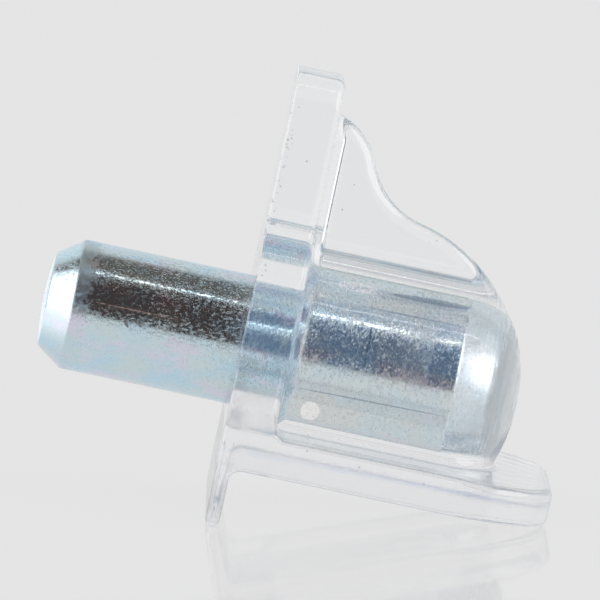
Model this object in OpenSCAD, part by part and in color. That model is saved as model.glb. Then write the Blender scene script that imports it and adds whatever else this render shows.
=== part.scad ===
// Shelf support pin: a steel pin moulded into a clear bracket.
// The pin lies along X and enters the cabinet side towards +X. The shelf rests on the flange, which faces +Z.
// The origin is on the pin's axis, in the plane of the bracket's back face. All sizes are in millimetres.

/* [Pin] */
// Diameter of the steel pin
pin_diameter = 5; // [4:0.1:6]
// How far the pin stands out of the back face
pin_reach = 7.65; // [5:0.1:16]
// How far the pin runs into the moulding
pin_seat = 9.4; // [8:0.1:14]
// Length of the chamfer on each end of the pin
chamfer_length = 1; // [0.2:0.05:1.5]
// Depth of the chamfer on each end of the pin
chamfer_depth = 0.7; // [0.2:0.05:1]
// Height of the slight dome on each end of the pin
end_dome = 0.15; // [0.05:0.01:0.3]
// Width of the groove that locks the pin in the moulding
groove_width = 0.7; // [0.6:0.05:1.2]
// Depth of that groove
groove_depth = 0.18; // [0.16:0.01:0.4]
// Distance from the back face to the start of that groove
groove_inset = 0.1; // [0.05:0.05:0.18]
// Gap between the pin and the plastic moulded round it
moulded_gap = 0; // [0:0.01:0.05]

/* [Back plate] */
// Thickness of the back plate
plate_thickness = 1.9; // [1.2:0.1:3]
// From the pin's axis down to the end of the plate
plate_drop = 10.6; // [8.5:0.1:16]
// Width of the tongue at the plate's lower end
tongue_width = 4.7; // [3:0.1:8]
// Corner radius at the end of the tongue
tongue_corner = 1.15; // [0.3:0.05:1.4]
// Width of the plate beside the pin
shoulder_width = 9; // [8.8:0.1:11]
// From the pin's axis down to the top of the shoulders
shoulder_drop = 4.4; // [3.8:0.1:6]
// Radius of the shoulders
shoulder_round = 1.4; // [0.5:0.1:1.9]
// Radius of the inside corner between a shoulder and the tongue
tongue_fillet = 0.5; // [0.2:0.05:1]
// Radius of the flare from the shoulders out to the flange
flare_radius = 3; // [2.7:0.1:8]
// From the pin's axis down to where the flare starts
flare_start = 0; // [-0.3:0.1:2]
// Rounding of the front edge at the plate's lower end
end_round = 0.4; // [0.1:0.05:0.8]

/* [Shelf flange] */
// How far the face that carries the shelf stands above the barrel
seat_rise = 0.6; // [0.3:0.1:3]
// Thickness of the flange
flange_thickness = 1.45; // [1:0.05:3]
// Width of the flange
flange_width = 12; // [10.5:0.1:20]
// How far the flange runs out past the barrel's nose
flange_margin = 1.9; // [1.6:0.1:8]
// Radius of the flange's outer corners
flange_corner = 3.2; // [1:0.1:4.5]
// Rounding of the edges at the flange's outer end
flange_round = 0.3; // [0.1:0.05:0.7]
// Radius of the inside corner between the plate and the flange
corner_fillet = 0.45; // [0.2:0.05:1]

/* [Lip] */
// How far the lip stands above the shelf face
lip_height = 2.25; // [1:0.05:5]
// Thickness of the lip
lip_thickness = 0.55; // [0.4:0.05:1.2]
// Radius of the inside corner between the lip and the shelf face
lip_fillet = 0.45; // [0.2:0.05:1]

/* [Barrel] */
// Thickness of plastic round the pin
barrel_wall = 1.1; // [0.8:0.05:1.4]
// Thickness of plastic between the pin's inner end and the tip of the nose
nose_wall = 1.4; // [1.3:0.05:2.5]
// How much larger the radius of the nose's end is than the barrel's
nose_swell = 1.7; // [1:0.1:3]
// Radius of the turn from the barrel's side into the nose
nose_shoulder = 2; // [1:0.1:2.6]
// Radius of the inside corner between the barrel and the plate
barrel_fillet = 0.5; // [0.2:0.05:0.7]
// Radius of the inside corner between the barrel and the flange
seat_fillet = 0.4; // [0.2:0.05:0.6]

/* [Web] */
// Thickness of the web
web_thickness = 1; // [0.6:0.05:1.6]
// From the pin's axis down to where the web's edge meets the plate
web_drop = 9.2; // [8:0.1:10]
// Slope of the web's edge where it meets the plate, in degrees
web_slope = 15; // [5:1:30]
// Radius of the web's crest beside the plate
web_crest_radius = 2.55; // [1.5:0.05:3]
// Radius of the hollow in the web's edge
web_hollow_radius = 3; // [2:0.1:5]
// How much larger the radius of the web's edge over the nose is than the nose's own
web_nose_swell = 1; // [0.6:0.1:1.6]
// How far the centre of that edge lies above the pin's axis
web_nose_rise = 0.4; // [0:0.05:0.8]
// Radius of the inside corner between the web and the plate
web_plate_fillet = 0.55; // [0.2:0.05:1]
// Radius of the inside corner between the web and the barrel
web_barrel_fillet = 0.95; // [0.3:0.05:1]

/* [Hidden] */
$fn = 64;
pin_radius = pin_diameter / 2;
groove_radius = pin_radius - groove_depth;
// Outer radius of the barrel, how far its nose reaches, and the radii of the nose and of the web's edge over it
barrel_radius = pin_radius + barrel_wall;
barrel_reach = pin_seat + nose_wall;
nose_radius = barrel_radius + nose_swell;
web_nose_radius = nose_radius + web_nose_swell;
// From the pin's axis up to the face that carries the shelf, and to the flange's other face
shelf_height = barrel_radius + seat_rise;
flange_underside = shelf_height - flange_thickness;
// From the back face to the flange's outer end
flange_reach = barrel_reach + flange_margin;
web_half = web_thickness / 2;
// How far a fillet's circle cuts into the faces that it joins, so that it always meets them
fillet_bite = 0.01;
// Number of straight steps that an arc of the web's edge is drawn with
arc_steps = 12;
// Depth at which the barrel, the web and their fillets start inside the plate
root = plate_thickness / 2;
// Size of a block that reaches past the whole part
room = 2 * (flange_reach + plate_drop);

// Nose of the barrel: an arc about a point on the axis, which the shoulder arc runs into
nose_centre = barrel_reach - nose_radius;
shoulder_off = barrel_radius - nose_shoulder;
shoulder_along = nose_centre + sqrt(pow(nose_radius - nose_shoulder, 2) - pow(shoulder_off, 2));
nose_turn = atan2(shoulder_off, shoulder_along - nose_centre);

// Foot of the barrel on the flange: half its width, and the centre of its round end
foot_half = sqrt(pow(barrel_radius, 2) - pow(flange_underside, 2));
foot_end = shoulder_along + sqrt(pow(nose_shoulder, 2) - pow(flange_underside - shoulder_off, 2));
foot_centre = foot_end - foot_half;

// Edge of the web: three arcs, each tangent to the next. Points are (distance from the back face, drop)
web_nose = [barrel_reach - web_nose_radius, -web_nose_rise];
web_crest = [
    plate_thickness - web_crest_radius * sin(web_slope),
    web_drop - web_crest_radius * cos(web_slope)
];
web_hollow = meeting_point(
    web_nose,
    web_nose_radius + web_hollow_radius,
    web_crest,
    web_crest_radius + web_hollow_radius
);
nose_to_hollow = heading(web_nose, web_hollow);
crest_to_hollow = heading(web_crest, web_hollow);

// Direction from one point to another, in degrees
function heading(from, to) = atan2(to.y - from.y, to.x - from.x);

// Where two circles cross, on the side away from the pin
function meeting_point(centre_a, radius_a, centre_b, radius_b) =
    let (
        span = norm(centre_b - centre_a),
        unit = (centre_b - centre_a) / span,
        along = (pow(radius_a, 2) - pow(radius_b, 2) + pow(span, 2)) / (2 * span),
        across = sqrt(pow(radius_a, 2) - pow(along, 2))
    )
    centre_a + along * unit + across * [unit.y, -unit.x];

// Stands up a flat outline drawn as (distance from the back face, drop below the axis)
module upright(thickness) {
    rotate([90, 180, 0])
        linear_extrude(height = thickness, center = true)
            children();
}

// Extrudes a flat outline drawn as (sideways, drop below the axis) between two distances from the back face
module behind(from, to) {
    translate([-from, 0, 0])
        rotate([-90, 0, 90])
            linear_extrude(height = to - from)
                children();
}

// Turns a half outline drawn as (radius, distance from the back face) about the pin's axis
module turned() {
    rotate([0, -90, 0])
        rotate_extrude()
            children();
}

// Fills a square inside corner at the origin, open to +X and +Y, with a concave round
module corner_fill(radius) {
    difference() {
        translate([-radius / 2, -radius / 2])
            square(radius * 3 / 2);
        translate([radius, radius])
            circle(radius);
    }
}

// A plate end that hangs down to a drop, with two rounded corners
module rounded_end(width, drop, corner) {
    flat = width - 2 * corner;
    translate([-width / 2, 0])
        square([width, drop - corner]);
    translate([-flat / 2, 0])
        square([flat, drop]);
    for (side = [-1, 1])
        translate([side * flat / 2, drop - corner])
            circle(corner);
}

// Half outline of the pin with its chamfers, domed ends and groove, grown by a gap
module pin_profile(gap) {
    radius = pin_radius + gap;
    tip = radius - chamfer_depth;
    outer = end_dome - pin_reach;
    inner = pin_seat - end_dome;
    dome_radius = (pow(tip, 2) + pow(end_dome, 2)) / (2 * end_dome);
    groove_end = groove_inset + groove_width;
    polygon([
        [0, outer],
        [tip, outer],
        [radius, outer + chamfer_length],
        [radius, groove_inset],
        [groove_radius + gap, groove_inset],
        [groove_radius + gap, groove_end],
        [radius, groove_end],
        [radius, inner - chamfer_length],
        [tip, inner],
        [0, inner]
    ]);
    intersection() {
        translate([0, -pin_reach])
            square([tip, pin_reach + pin_seat]);
        union() {
            difference() {
                translate([0, dome_radius - pin_reach])
                    circle(dome_radius);
                translate([0, outer + chamfer_length])
                    square(2 * dome_radius);
            }
            difference() {
                translate([0, pin_seat - dome_radius])
                    circle(dome_radius);
                translate([0, inner - chamfer_length - 2 * dome_radius])
                    square(2 * dome_radius);
            }
        }
    }
}

// Side outline of the plate, the flange and the lip, which run straight across the bracket
module side_outline() {
    lip_top = -shelf_height - lip_height;
    lip_end = lip_thickness / 2;
    translate([0, -shelf_height])
        square([plate_thickness, shelf_height + plate_drop - end_round]);
    translate([0, -shelf_height])
        square([plate_thickness - end_round, shelf_height + plate_drop]);
    translate([plate_thickness - end_round, plate_drop - end_round])
        circle(end_round);
    translate([0, -shelf_height])
        square([flange_reach - flange_round, flange_thickness]);
    translate([0, flange_round - shelf_height])
        square([flange_reach, flange_thickness - 2 * flange_round]);
    for (edge = [flange_round - shelf_height, -flange_underside - flange_round])
        translate([flange_reach - flange_round, edge])
            circle(flange_round);
    translate([0, lip_top + lip_end])
        square([lip_thickness, lip_height]);
    translate([lip_end, lip_top + lip_end])
        circle(lip_end);
    translate([plate_thickness, -flange_underside])
        corner_fill(corner_fillet);
    translate([lip_thickness, -shelf_height])
        mirror([0, 1])
            corner_fill(lip_fillet);
}

// Front outline: the tongue, the shoulders beside the pin and the flare out to the flange and the lip
module front_outline() {
    top = shelf_height + lip_height;
    translate([0, -flange_underside])
        rounded_end(tongue_width, plate_drop + flange_underside, tongue_corner);
    translate([0, -flange_underside])
        rounded_end(shoulder_width, shoulder_drop + flange_underside, shoulder_round);
    translate([-flange_width / 2, -top])
        square([flange_width, top - flange_underside]);
    difference() {
        translate([-flange_width / 2, -flange_underside])
            square([flange_width, flare_start + flange_underside]);
        for (side = [-1, 1])
            translate([side * (shoulder_width / 2 + flare_radius), flare_start])
                circle(flare_radius);
    }
    for (side = [0, 1])
        mirror([side, 0])
            translate([tongue_width / 2, shoulder_drop])
                corner_fill(tongue_fillet);
}

// Outline seen from above: the flange with its rounded outer corners
module plan_outline() {
    rotate(90)
        rounded_end(flange_width, flange_reach, flange_corner);
}

// Back plate, flange and lip: the shape that all three outlines allow
module shell() {
    intersection() {
        upright(flange_width)
            side_outline();
        behind(0, flange_reach)
            front_outline();
        translate([0, 0, -room])
            linear_extrude(height = 2 * room)
                plan_outline();
    }
}

// Half outline of the barrel, with its domed nose and the fillet at the plate
module barrel_profile() {
    translate([0, root])
        square([barrel_radius, shoulder_along - root]);
    intersection() {
        translate([shoulder_off, shoulder_along])
            circle(nose_shoulder);
        translate([shoulder_off, 0])
            square([barrel_radius, barrel_reach]);
    }
    intersection() {
        translate([0, nose_centre])
            circle(nose_radius);
        polygon([[0, nose_centre], [room * tan(nose_turn), nose_centre + room], [0, nose_centre + room]]);
    }
    translate([barrel_radius, plate_thickness])
        corner_fill(barrel_fillet);
}

// Half section of the fillet between the barrel and the flange, drawn as (sideways, drop)
module seat_fillet_section() {
    centre_drop = seat_fillet - flange_underside;
    centre_side = sqrt(pow(barrel_radius + seat_fillet, 2) - pow(centre_drop, 2));
    bottom = -flange_underside - flange_thickness / 2;
    difference() {
        polygon([[0, 0], [centre_side, centre_drop], [centre_side, bottom], [0, bottom]]);
        translate([centre_side, centre_drop])
            circle(seat_fillet);
    }
}

// Fillet along both sides of the barrel and round the foot of its nose
module seat_fillets() {
    for (side = [0, 1])
        mirror([0, side, 0])
            behind(root, foot_centre)
                seat_fillet_section();
    translate([-foot_centre, 0, 0])
        rotate([180, 0, 0])
            rotate_extrude()
                seat_fillet_section();
}

// Points along an arc, between two headings
function arc_points(centre, radius, from, to) = [
    for (step = [0:arc_steps])
        let (turn = from + (to - from) * step / arc_steps)
            centre + radius * [cos(turn), sin(turn)]
];

// Side outline of the web: the crest beside the plate, the hollow and the edge over the nose
module web_outline() {
    crest_start = acos((root - web_crest.x) / web_crest_radius);
    nose_end = asin(web_nose_rise / web_nose_radius);
    polygon(concat(
        [[root, 0]],
        arc_points(web_crest, web_crest_radius, crest_start, crest_to_hollow),
        arc_points(web_hollow, web_hollow_radius, crest_to_hollow + 180, nose_to_hollow + 180),
        arc_points(web_nose, web_nose_radius, nose_to_hollow, nose_end + nose_turn / 2),
        [[nose_centre, 0]]
    ));
}

// Half section of the fillet between the web and the barrel, drawn as (sideways, drop)
module web_fillet_section() {
    centre_side = web_half + web_barrel_fillet - fillet_bite;
    centre_drop = sqrt(pow(barrel_radius + web_barrel_fillet - fillet_bite, 2) - pow(centre_side, 2));
    difference() {
        polygon([[0, 0], [centre_side, centre_drop], [0, centre_drop]]);
        translate([centre_side, centre_drop])
            circle(web_barrel_fillet);
    }
}

// Fillets between the web and the barrel, which follow the barrel over its shoulder
module web_barrel_fillets() {
    intersection() {
        upright(2 * barrel_radius)
            web_outline();
        for (side = [0, 1])
            mirror([0, side, 0]) {
                behind(root, shoulder_along)
                    web_fillet_section();
                rotate([90, 180, 0])
                    translate([shoulder_along, shoulder_off])
                        rotate(nose_turn)
                            rotate_extrude(angle = 90 - nose_turn)
                                intersection() {
                                    square(room);
                                    translate([-shoulder_off, 0])
                                        mirror([1, -1])
                                            web_fillet_section();
                                }
            }
    }
}

// Fillets between the web and the plate
module web_plate_fillets() {
    intersection() {
        upright(2 * barrel_radius)
            web_outline();
        for (side = [0, 1])
            mirror([0, side, 0])
                translate([0, 0, -plate_drop])
                    linear_extrude(height = plate_drop)
                        mirror([1, 0])
                            translate([plate_thickness, web_half])
                                corner_fill(web_plate_fillet);
    }
}

// Web under the barrel
module web() {
    upright(web_thickness)
        web_outline();
    web_plate_fillets();
    web_barrel_fillets();
}

// The clear moulding, in one piece, with the seat that the pin fills
module body() {
    color([0.86, 0.9, 0.93, 0.4])
        difference() {
            union() {
                shell();
                turned()
                    barrel_profile();
                seat_fillets();
                web();
            }
            turned()
                pin_profile(moulded_gap);
        }
}

// The zinc-plated steel pin
module pin() {
    color([0.62, 0.66, 0.68])
        turned()
            pin_profile(0);
}

body();
pin();
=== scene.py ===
# %% [markdown]
# # A shelf support pin
# A steel pin, moulded into a clear plastic bracket. The pin plugs into a hole in a cabinet's side, and the
# shelf rests on the bracket's flange. The model is used upside down here: it stands on its lip and its
# flange, as it would be laid on a table, so the floor lies above it in the part's own frame.
#
# Lengths are written in millimetres and turned into metres where a mesh or a lamp is made.

# %% Load the packed model
import functools
import math

import bpy
import numpy as np
from mathutils import Matrix, Vector


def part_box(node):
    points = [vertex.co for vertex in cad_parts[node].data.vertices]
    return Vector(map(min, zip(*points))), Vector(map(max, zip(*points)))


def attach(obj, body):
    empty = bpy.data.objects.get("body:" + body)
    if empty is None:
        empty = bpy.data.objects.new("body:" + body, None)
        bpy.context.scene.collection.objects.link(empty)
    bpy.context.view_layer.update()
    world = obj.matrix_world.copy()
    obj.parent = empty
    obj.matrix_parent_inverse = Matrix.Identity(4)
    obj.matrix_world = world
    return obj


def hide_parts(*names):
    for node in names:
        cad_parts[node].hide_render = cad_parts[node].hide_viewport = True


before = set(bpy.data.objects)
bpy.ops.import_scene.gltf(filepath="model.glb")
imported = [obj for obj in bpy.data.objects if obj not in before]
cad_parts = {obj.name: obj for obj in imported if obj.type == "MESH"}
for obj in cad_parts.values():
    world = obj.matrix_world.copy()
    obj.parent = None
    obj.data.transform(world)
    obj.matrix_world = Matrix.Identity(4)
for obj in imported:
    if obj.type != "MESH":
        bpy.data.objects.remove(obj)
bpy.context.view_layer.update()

MM = 0.001
print("nodes", sorted(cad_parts))

# %% [markdown]
# The places of the two pieces come from the packed model's boxes. A few sizes inside those boxes are
# written out once more, because only the part's own source holds them. All directions below are named as
# the bracket has them: `back` is the distance from the back face, away from the pin's free end, `side` is
# the distance across, and `drop` is the distance below the pin's axis.

# %% Sizes of the bracket and the pin
body_low, body_high = (np.array(corner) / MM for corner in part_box("body"))
pin_low, pin_high = (np.array(corner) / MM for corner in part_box("pin"))
FLANGE_REACH, HALF_WIDTH = -body_low[0], body_high[1]
PLATE_DROP, LIP_TOP = -body_low[2], body_high[2]
PIN_TIP, PIN_SEAT, PIN_RADIUS = pin_high[0], -pin_low[0], pin_high[1]

PLATE, LIP = 1.9, 0.55
SHELF, FLANGE_INNER = 4.2, 2.75
TONGUE_HALF, TONGUE_CORNER = 2.35, 1.15
SHOULDER_HALF, SHOULDER_DROP, SHOULDER_ROUND = 4.5, 4.4, 1.4
FLARE_RADIUS, FLARE_START = 3.0, 0.0
FLANGE_CORNER = 3.2
BARREL, BARREL_REACH = 3.6, 10.8
NOSE, NOSE_SHOULDER = 5.3, 2.0
WEB_HALF = 0.5
print("body box", body_low.round(3), body_high.round(3), "pin box", pin_low.round(3), pin_high.round(3))

# %% [markdown]
# ## The moulding as a distance function
# A moulded part has no truly sharp edge, and its inside corners are rounded too, so that the plastic flows
# and the part doesn't crack. It could be built from boxes with a Bevel modifier, but bevels break down
# where five fillets of different sizes meet. So the solid is described by a function that says how far a
# point lies outside it, and a net of quads is laid over the points where it is zero. Two shapes are joined
# with a fillet, or cut with a round, by bending the function where both are near.

# %% Rounds and fillets between distances
COSINE_LIMIT = 0.95


def smooth(value, start, end):
    """0 before start, 1 after end, and 3t^2 - 2t^3 between them."""
    t = np.clip((value - start) / (end - start), 0, 1)
    return t * t * (3 - 2 * t)


def joined(radius, *distances):
    """Union with a fillet: max(r, min d) - sqrt(sum of max(r - d, 0)^2)."""
    near = sum(np.maximum(radius - d, 0) ** 2 for d in distances)
    return np.maximum(radius, np.minimum.reduce(distances)) - np.sqrt(near)


def trimmed(radius, *distances):
    """Intersection with a rounded edge: min(-r, max d) + sqrt(sum of max(d + r, 0)^2)."""
    near = sum(np.maximum(d + radius, 0) ** 2 for d in distances)
    return np.minimum(-radius, np.maximum.reduce(distances)) + np.sqrt(near)


def filleted(radius, a, b, cosine):
    """Union of two faces whose normals have a given cosine, with a ball of that radius rolled along them.
    The ball's centre is where both distances are the radius, and the rest is the law of cosines."""
    cosine = np.clip(cosine, -COSINE_LIMIT, COSINE_LIMIT)
    lean_a, lean_b = radius - a, radius - b
    share_a, share_b = lean_a - lean_b * cosine, lean_b - lean_a * cosine
    square = np.maximum(lean_a ** 2 + lean_b ** 2 - 2 * lean_a * lean_b * cosine, 0)
    ball = np.sqrt(square / (1 - cosine ** 2))
    return np.where((share_a > 0) & (share_b > 0), radius - ball, np.minimum(a, b))


print("a 1 mm round leaves the sharp corner", round(float(trimmed(1.0, 0.0, 0.0)), 3), "mm outside")

# %% [markdown]
# The barrel holds the pin. It is a turned shape: a cylinder that a shoulder arc carries into a nose of
# larger radius. Cylinder and arcs touch, so which of them is nearest follows from the direction in which a
# point lies. The distance is exact near the skin, which keeps its reflections even.

# %% Distance to the barrel
SHOULDER_OFF = BARREL - NOSE_SHOULDER
NOSE_CENTRE = BARREL_REACH - NOSE
SHOULDER_ALONG = NOSE_CENTRE + math.sqrt((NOSE - NOSE_SHOULDER) ** 2 - SHOULDER_OFF ** 2)
NOSE_TURN = math.atan2(SHOULDER_OFF, SHOULDER_ALONG - NOSE_CENTRE)
LEAST_RADIUS = 0.1


def barrel_distance(back, side, drop):
    """Radius minus the barrel's, and past the shoulder the distance to its ring or to the nose's ball.
    The second result, times a sideways distance, is how far the barrel's normal leans that way."""
    radius = np.hypot(side, drop)
    nose = np.hypot(radius, back - NOSE_CENTRE)
    ring = np.hypot(radius - SHOULDER_OFF, back - SHOULDER_ALONG)
    turn = np.arctan2(radius, back - NOSE_CENTRE)
    on_side, on_nose = back < SHOULDER_ALONG, turn < NOSE_TURN
    distance = np.where(on_side, radius - BARREL, np.where(on_nose, nose - NOSE, ring - NOSE_SHOULDER))
    ring_lean = (radius - SHOULDER_OFF) / np.maximum(ring, LEAST_RADIUS)
    outward = np.where(on_side, 1, np.where(on_nose, radius / nose, ring_lean))
    return distance, outward / np.maximum(radius, LEAST_RADIUS)


print("nose's centre", round(NOSE_CENTRE, 3), "shoulder starts", round(SHOULDER_ALONG, 3))

# %% [markdown]
# The web is a thin fin under the barrel that stiffens the plate. Its edge runs in three arcs that touch
# each other: a crest beside the plate, a hollow, and a long arc that follows the nose. Arcs that touch give
# an edge without a kink, and the hollow's centre is simply where two circles cross.

# %% Distance to the web's outline
CREST_RADIUS, CREST_SLOPE, CREST_DROP = 2.55, math.radians(15), 9.2
HOLLOW_RADIUS, RIM_RADIUS, RIM_RISE = 3.0, 6.3, 0.4
RIM = np.array([BARREL_REACH - RIM_RADIUS, -RIM_RISE])
CREST_TURN = np.array([math.sin(CREST_SLOPE), math.cos(CREST_SLOPE)])
CREST = np.array([PLATE, CREST_DROP]) - CREST_RADIUS * CREST_TURN


def crossing(centre_a, radius_a, centre_b, radius_b):
    """Where two circles cross: along the line of centres, then square to it, on the outer side."""
    span = np.linalg.norm(centre_b - centre_a)
    unit = (centre_b - centre_a) / span
    along = (radius_a ** 2 - radius_b ** 2 + span ** 2) / (2 * span)
    across = math.sqrt(radius_a ** 2 - along ** 2)
    return centre_a + along * unit + across * np.array([unit[1], -unit[0]])


def beyond(back, drop, start, end):
    """Signed side of the line from start to end on which a point lies."""
    return (end[0] - start[0]) * (drop - start[1]) - (end[1] - start[1]) * (back - start[0])


HOLLOW = crossing(RIM, RIM_RADIUS + HOLLOW_RADIUS, CREST, CREST_RADIUS + HOLLOW_RADIUS)


def web_outline_distance(back, drop):
    """The hollow's radius minus the distance to its centre between the points where it touches, and
    elsewhere the distance to the nearer disc."""
    crest = np.hypot(back - CREST[0], drop - CREST[1]) - CREST_RADIUS
    rim = np.hypot(back - RIM[0], drop - RIM[1]) - RIM_RADIUS
    hollow = HOLLOW_RADIUS - np.hypot(back - HOLLOW[0], drop - HOLLOW[1])
    in_hollow = (beyond(back, drop, HOLLOW, CREST) > 0) & (beyond(back, drop, HOLLOW, RIM) < 0)
    return np.where(in_hollow, hollow, np.minimum(crest, rim))


print("hollow's centre", HOLLOW.round(3))

# %% [markdown]
# Seen from the front, the back plate is a tongue that widens to shoulders beside the pin and flares out to
# the flange. Seen from above, the flange has two rounded outer corners. Both are flat outlines, and a point
# is inside the part only where it is inside both.

# %% Distance to the front and plan outlines
TONGUE_FILLET = 0.5


def outline_distance(back, side, drop):
    """The larger of the front outline's distance and the flange's, with a radius for each corner."""
    wide = np.abs(side)
    arc = FLARE_RADIUS - np.hypot(wide - SHOULDER_HALF - FLARE_RADIUS, drop - FLARE_START)
    flare = np.where(drop < FLARE_START, arc, wide - SHOULDER_HALF)
    flare = np.maximum(flare, wide - HALF_WIDTH)
    tongue = joined(TONGUE_FILLET, wide - TONGUE_HALF, drop - SHOULDER_DROP)
    front = trimmed(SHOULDER_ROUND, flare, tongue)
    front = trimmed(TONGUE_CORNER, front, drop - PLATE_DROP)
    plan = trimmed(FLANGE_CORNER, back - FLANGE_REACH, wide - HALF_WIDTH)
    return np.maximum(front, plan)


print("tongue's side is", round(float(outline_distance(0.0, TONGUE_HALF, 8.0)), 3), "mm off its outline")

# %% [markdown]
# The whole moulding joins the plate, the flange, the barrel and the web with fillets, then trims the result
# by its outlines with small rounds. The rounds are larger along the plate's inner edge and at the free ends
# of the lip, the plate and the flange. The pin is bonded to the plastic with no air between them, so the
# plastic has no inner skin there: light passes from the plastic straight to the steel.

# %% Distance to the whole moulding
PLATE_FLANGE_FILLET, PLATE_BARREL_FILLET, FLANGE_BARREL_FILLET = 0.45, 0.5, 0.4
WEB_BARREL_FILLET, WEB_PLATE_FILLET, WEB_PLATE_THINNER, WEB_ROUND = 0.95, 0.55, 0.35, 0.5
LIP_FILLET = 0.45
EDGE_ROUND, TIP_EXTRA, END_EXTRA, OUTER_EXTRA, BEVEL_SHARE = 0.12, 0.15, 0.28, 0.18, 0.8


def edge_radius(back, drop):
    """The plain round, plus more at the lip's tip, the plate's end and inner edge, and the flange's end."""
    tip = TIP_EXTRA * smooth(-drop, 5.2, 6.0)
    inner = smooth(back, 0.7, 1.3)
    end = smooth(drop, 8.8, 9.8) * inner
    bevel = BEVEL_SHARE * inner * (1 - smooth(back, 2.2, 2.8)) * smooth(drop, -2.6, -1.8)
    outer = OUTER_EXTRA * smooth(back, 8.5, 10.5)
    return EDGE_ROUND + tip + END_EXTRA * np.maximum(end, bevel) + outer


def body_distance(x, y, z):
    """Fillets where faces meet in a corner, rounds where they meet at an edge."""
    back, side, drop = -x, y, -z
    wide = np.abs(side)
    plate, flange = back - PLATE, drop + FLANGE_INNER
    barrel, lean = barrel_distance(back, side, drop)
    core = np.minimum(joined(PLATE_FLANGE_FILLET, plate, flange), joined(PLATE_BARREL_FILLET, plate, barrel))
    core = np.minimum(core, filleted(FLANGE_BARREL_FILLET, flange, barrel, lean * drop))

    fin = filleted(WEB_BARREL_FILLET, wide - WEB_HALF, barrel, lean * wide)
    fin = trimmed(WEB_ROUND, fin, web_outline_distance(back, drop))
    fin = joined(WEB_PLATE_FILLET - WEB_PLATE_THINNER * smooth(drop, 8.2, 9.0), plate, fin)

    lip = joined(LIP_FILLET, back - LIP, -SHELF - drop)
    limits = (-back, lip, -LIP_TOP - drop, np.minimum(core, fin), outline_distance(back, side, drop))
    return trimmed(edge_radius(back, drop), *limits)


print("the barrel's side is", round(float(body_distance(-5.0, BARREL, 0.0)), 3), "mm off the skin")

# %% [markdown]
# ## Laying the net
# The function is sampled on a lattice. Every lattice edge whose ends lie on different sides of the skin is
# crossed by it. Each cell that has a crossed edge gets one point, at the mean of its crossings, and each
# crossed edge gets one quad, which joins the points of the four cells round it. The points are then pulled
# onto the true surface by a few Newton steps, and the function's slope gives each point its exact normal.
# Exact normals matter more than small faces here, because clear plastic shows every ripple of its skin.

# %% Net of quads over a distance function
NEWTON_STEPS, SLOPE_REACH, LEAST_GRADE, SLAB = 3, 0.004, 0.2, 16


def slope(distance, points):
    """Central differences of the distance along the three axes."""
    columns = []
    for axis in range(3):
        step = np.zeros(3)
        step[axis] = SLOPE_REACH
        ahead, behind = points + step, points - step
        columns.append((distance(*ahead.T) - distance(*behind.T)) / (2 * SLOPE_REACH))
    return np.stack(columns, 1)


def crossed_edges(field, strides, axis):
    """Crossings of the lattice edges along one axis, with the four cells round each, in turning order."""
    left, right = (axis + 1) % 3, (axis + 2) % 3
    a, b = np.delete(field, -1, axis), np.delete(field, 0, axis)
    spot = np.argwhere((a < 0) != (b < 0))
    value_a, value_b = a[tuple(spot.T)], b[tuple(spot.T)]
    where = spot.astype(float)
    where[:, axis] += value_a / (value_a - value_b)
    home = spot @ strides
    to_left, to_right = home - strides[left], home - strides[right]
    ring = np.stack([to_left - strides[right], to_right, home, to_left], 1)
    ring[value_a > 0] = ring[value_a > 0, ::-1]
    return where, ring


def surface_net(distance, low, high, pitch):
    """Points and quads of the zero level, one point to a crossed cell and one quad to a crossed edge."""
    axes = [np.arange(a - 2.5 * pitch, b + 3 * pitch, pitch) for a, b in zip(low, high)]
    field = np.concatenate([
        distance(*np.meshgrid(axes[0][i:i + SLAB], axes[1], axes[2], indexing="ij"))
        for i in range(0, len(axes[0]), SLAB)
    ])
    strides = np.array([field.shape[1] * field.shape[2], field.shape[2], 1])
    found = zip(*(crossed_edges(field, strides, axis) for axis in range(3)))
    crossings, rings = (np.concatenate(part) for part in found)
    cells, index = np.unique(rings, return_inverse=True)
    index = index.reshape(-1, 4)
    share = np.bincount(index.ravel(), minlength=len(cells))
    points = np.stack([
        np.bincount(index.ravel(), np.repeat(crossings[:, k], 4), len(cells)) / share * pitch + axes[k][0]
        for k in range(3)
    ], 1)
    for _ in range(NEWTON_STEPS):
        grade = slope(distance, points)
        pull = distance(*points.T) / np.maximum((grade ** 2).sum(1), LEAST_GRADE)
        points -= np.clip(pull, -pitch, pitch)[:, None] * grade
    return points, index


ball, _ = surface_net(lambda x, y, z: np.sqrt(x * x + y * y + z * z) - 1, [-1] * 3, [1] * 3, 0.2)
print("tried on a 1 mm ball:", len(ball), "points, radius", np.linalg.norm(ball, axis=1).mean().round(4))

# %% [markdown]
# The net becomes the moulding's mesh, with its exact normals. One helper makes a mesh object from any points
# and faces, so the pin can use it too. The object itself stays at the origin, unturned, and its place is in
# its points, as in the packed model.

# %% Make the moulding
def mesh_object(name, points, faces, normals=None):
    """One mesh object in metres, smooth shaded, with its exact normals where they are given."""
    mesh = bpy.data.meshes.new(name)
    mesh.from_pydata(np.round(points * MM, 9).tolist(), [], faces)
    mesh.polygons.foreach_set("use_smooth", np.ones(len(mesh.polygons), bool))
    if normals is not None:
        mesh.normals_split_custom_set_from_vertices(normals.tolist())
    mesh.update()
    piece = bpy.data.objects.new(name, mesh)
    bpy.context.scene.collection.objects.link(piece)
    return piece


PITCH, QUICK_PITCH = 0.1, 0.16
pitch = PITCH
net_points, net_faces = surface_net(body_distance, body_low, body_high, pitch)
net_normals = slope(body_distance, net_points)
net_normals /= np.linalg.norm(net_normals, axis=1)[:, None]
moulding = mesh_object("moulding", net_points, net_faces.tolist(), net_normals)
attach(moulding, "root")
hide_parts("body")
print("moulding", len(net_points), "points", len(net_faces), "quads")

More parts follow.
